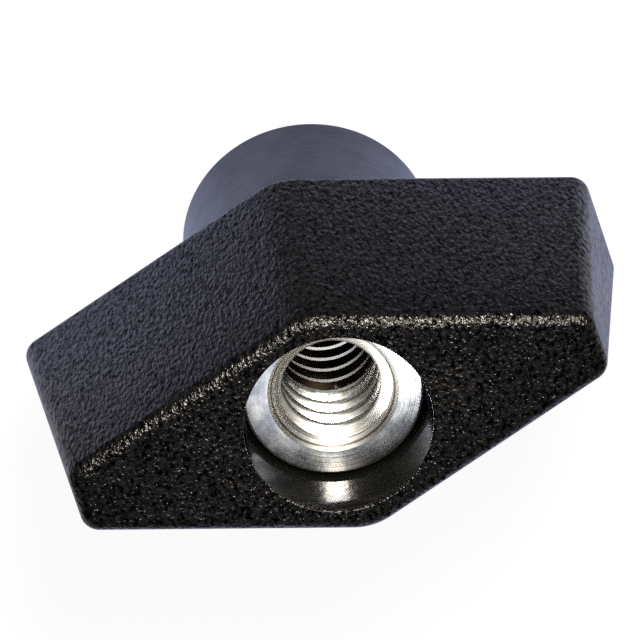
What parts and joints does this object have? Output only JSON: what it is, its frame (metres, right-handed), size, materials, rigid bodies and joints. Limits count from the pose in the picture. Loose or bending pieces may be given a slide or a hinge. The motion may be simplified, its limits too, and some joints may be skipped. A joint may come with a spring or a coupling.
{
  "type": "wing nut",
  "caption": "Wing nut: a black moulded body with two tapered wings, a collar and a round recess, over a steel bush with a through thread.",
  "frame": {"origin": "centre of the threaded bore at the clamping face, the bush's end face under the collar", "axes": "+Z along the bore, from the clamping face to the recessed outer face; +X along the wings"},
  "size_m": [0.0298, 0.0152, 0.0227],
  "materials": {
    "moulding": "fine spark-eroded grain on the wings, smooth on the collar and in the recess",
    "bush": "bright, turned"
  },
  "bodies": {
    "root": {"wing_body": "moulding", "threaded_bush": "bush"}
  },
  "joints": []
}
